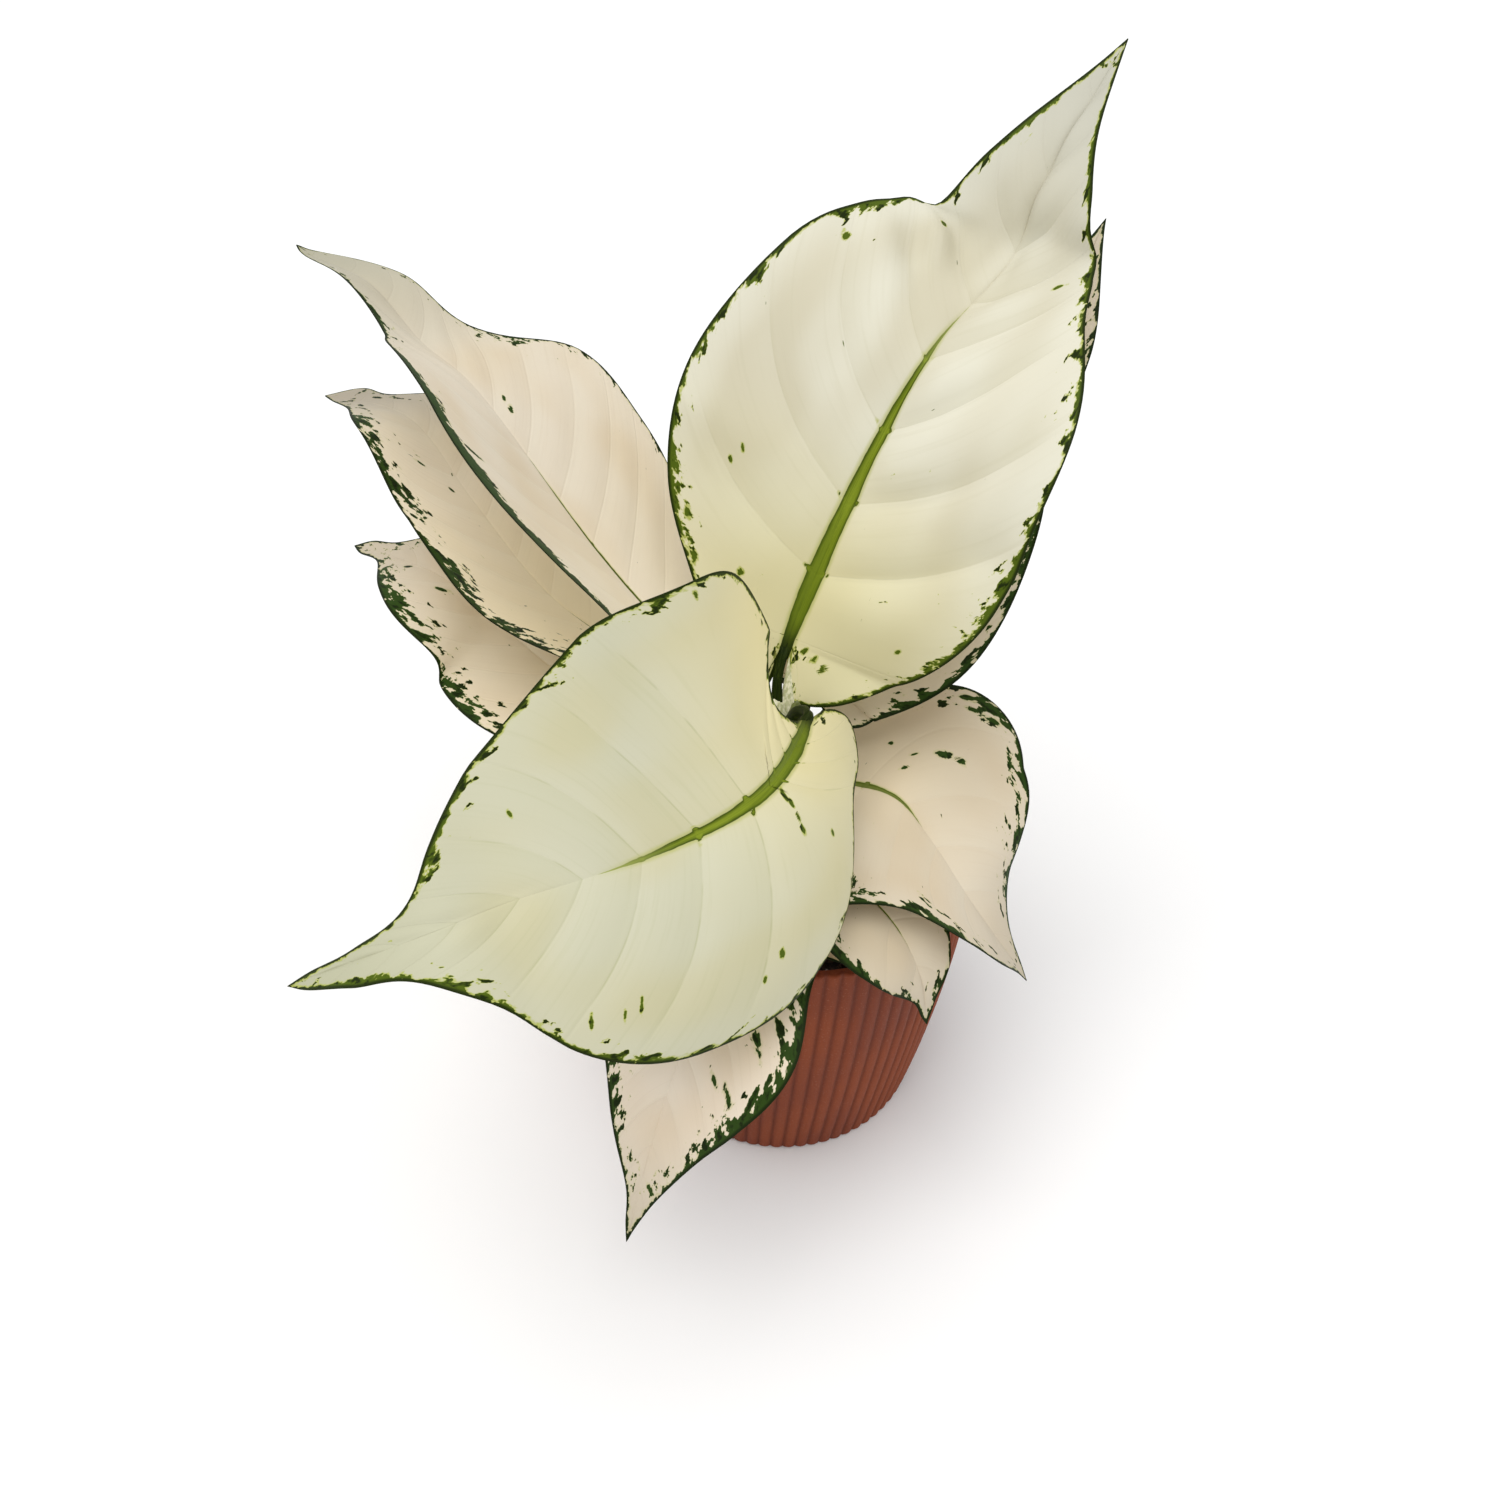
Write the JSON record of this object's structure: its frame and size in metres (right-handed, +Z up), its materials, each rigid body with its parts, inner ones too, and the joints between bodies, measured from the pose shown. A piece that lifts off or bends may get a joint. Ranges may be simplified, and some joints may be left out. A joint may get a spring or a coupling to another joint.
{
  "type": "potted plant",
  "caption": "Potted white-leaved Chinese evergreen: broad cream leaves with flecked dark green edges and green midribs on a short cane, in a ribbed terracotta-pink pot.",
  "frame": {"origin": "centre of the pot's underside", "axes": "+Z up along the pot, +Y away from the viewer of the picture, +X to the viewer's right"},
  "size_m": [0.2966, 0.3048, 0.3884],
  "materials": {
    "pot": "matte",
    "soil": "rough",
    "cane": "satin",
    "leaf": "satin"
  },
  "bodies": {
    "root": {"pot": "pot", "soil": "soil", "cane": "cane", "leaf_upper_right": "leaf", "leaf_front_left": "leaf", "leaf_upper_left": "leaf", "leaf_left": "leaf", "leaf_lower_left": "leaf", "leaf_back_right": "leaf", "leaf_right": "leaf", "leaf_rim_right": "leaf", "leaf_front": "leaf", "leaf_rim_small": "leaf"}
  },
  "joints": []
}
